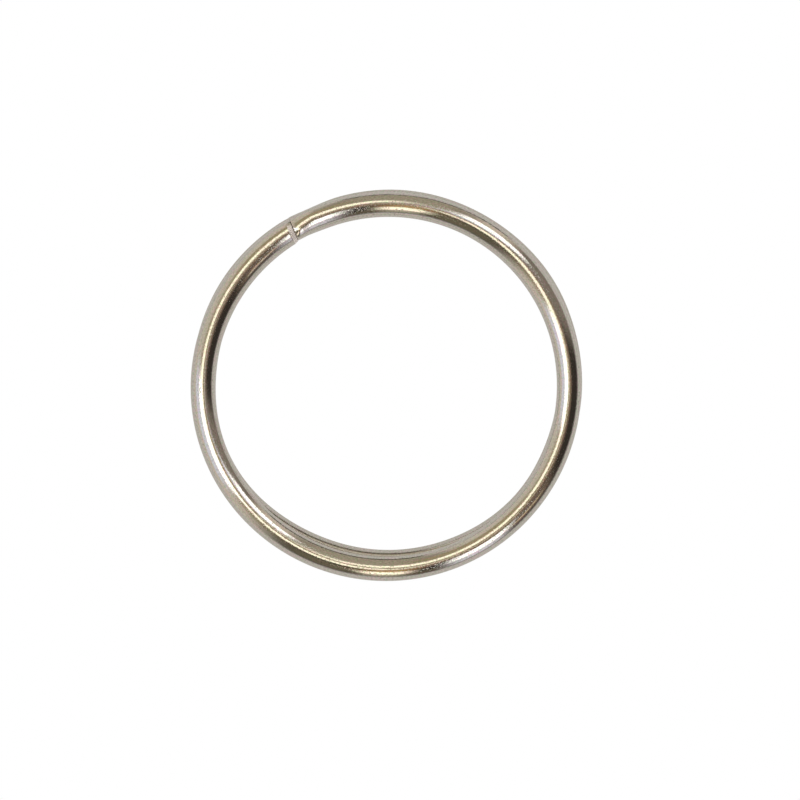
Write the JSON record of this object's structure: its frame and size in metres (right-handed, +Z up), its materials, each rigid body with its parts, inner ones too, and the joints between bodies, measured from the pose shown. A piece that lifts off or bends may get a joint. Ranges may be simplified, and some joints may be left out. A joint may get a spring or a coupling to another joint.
{
  "type": "split key ring",
  "caption": "Split key ring of half-round nickel-plated spring wire wound flat on itself, stepped down beside its cut end; the free ends spring apart to let a key in.",
  "frame": {"origin": "centre of the ring, on the surface that it lies on", "axes": "+Z up through the middle of the ring; seen from above with +X to the right, the upper cut end is at 122 degrees counter-clockwise from +X"},
  "size_m": [0.0501, 0.0498, 0.0032],
  "materials": {
    "nickel_plate": "gloss"
  },
  "bodies": {
    "crossover_coil": {"crossover_coil": "nickel_plate"},
    "upper_arm_root": {"upper_arm_root": "nickel_plate"},
    "upper_arm_middle": {"upper_arm_middle": "nickel_plate"},
    "upper_arm_tip": {"upper_arm_tip": "nickel_plate"},
    "lower_arm_root": {"lower_arm_root": "nickel_plate"},
    "lower_arm_middle": {"lower_arm_middle": "nickel_plate"},
    "lower_arm_tip": {"lower_arm_tip": "nickel_plate"}
  },
  "joints": [
    {"name": "upper_arm_root_flex", "type": "hinge", "parent": "crossover_coil", "child": "upper_arm_root", "pos_m": [0.01251, -0.01967, 0.00245], "axis": [0.8439, 0.5366, 0], "range_deg": [0, 3.2], "stiffness_Nm_per_rad": 7.2},
    {"name": "upper_arm_middle_flex", "type": "hinge", "parent": "upper_arm_root", "child": "upper_arm_middle", "pos_m": [-0.01078, -0.02067, 0.00245], "axis": [0.9991, 0.0427, 0], "range_deg": [0, 2.8], "stiffness_Nm_per_rad": 7.2},
    {"name": "upper_arm_tip_flex", "type": "hinge", "parent": "upper_arm_middle", "child": "upper_arm_tip", "pos_m": [-0.02329, -0.001, 0.00245], "axis": [0.8866, -0.4625, 0], "range_deg": [0, 1.65], "stiffness_Nm_per_rad": 7.2},
    {"name": "lower_arm_root_flex", "type": "hinge", "parent": "crossover_coil", "child": "lower_arm_root", "pos_m": [0.01108, -0.01987, 0.00075], "axis": [-0.8733, -0.4871, 0], "range_deg": [0, 3.2], "stiffness_Nm_per_rad": 7.2},
    {"name": "lower_arm_middle_flex", "type": "hinge", "parent": "lower_arm_root", "child": "lower_arm_middle", "pos_m": [0.02351, -0.00035, 0.00075], "axis": [-0.5076, -0.8616, 0], "range_deg": [0, 2.8], "stiffness_Nm_per_rad": 7.2},
    {"name": "lower_arm_tip_flex", "type": "hinge", "parent": "lower_arm_middle", "child": "lower_arm_tip", "pos_m": [0.01192, 0.01996, 0.00075], "axis": [-0.0063, -1, 0], "range_deg": [0, 1.65], "stiffness_Nm_per_rad": 7.2}
  ]
}
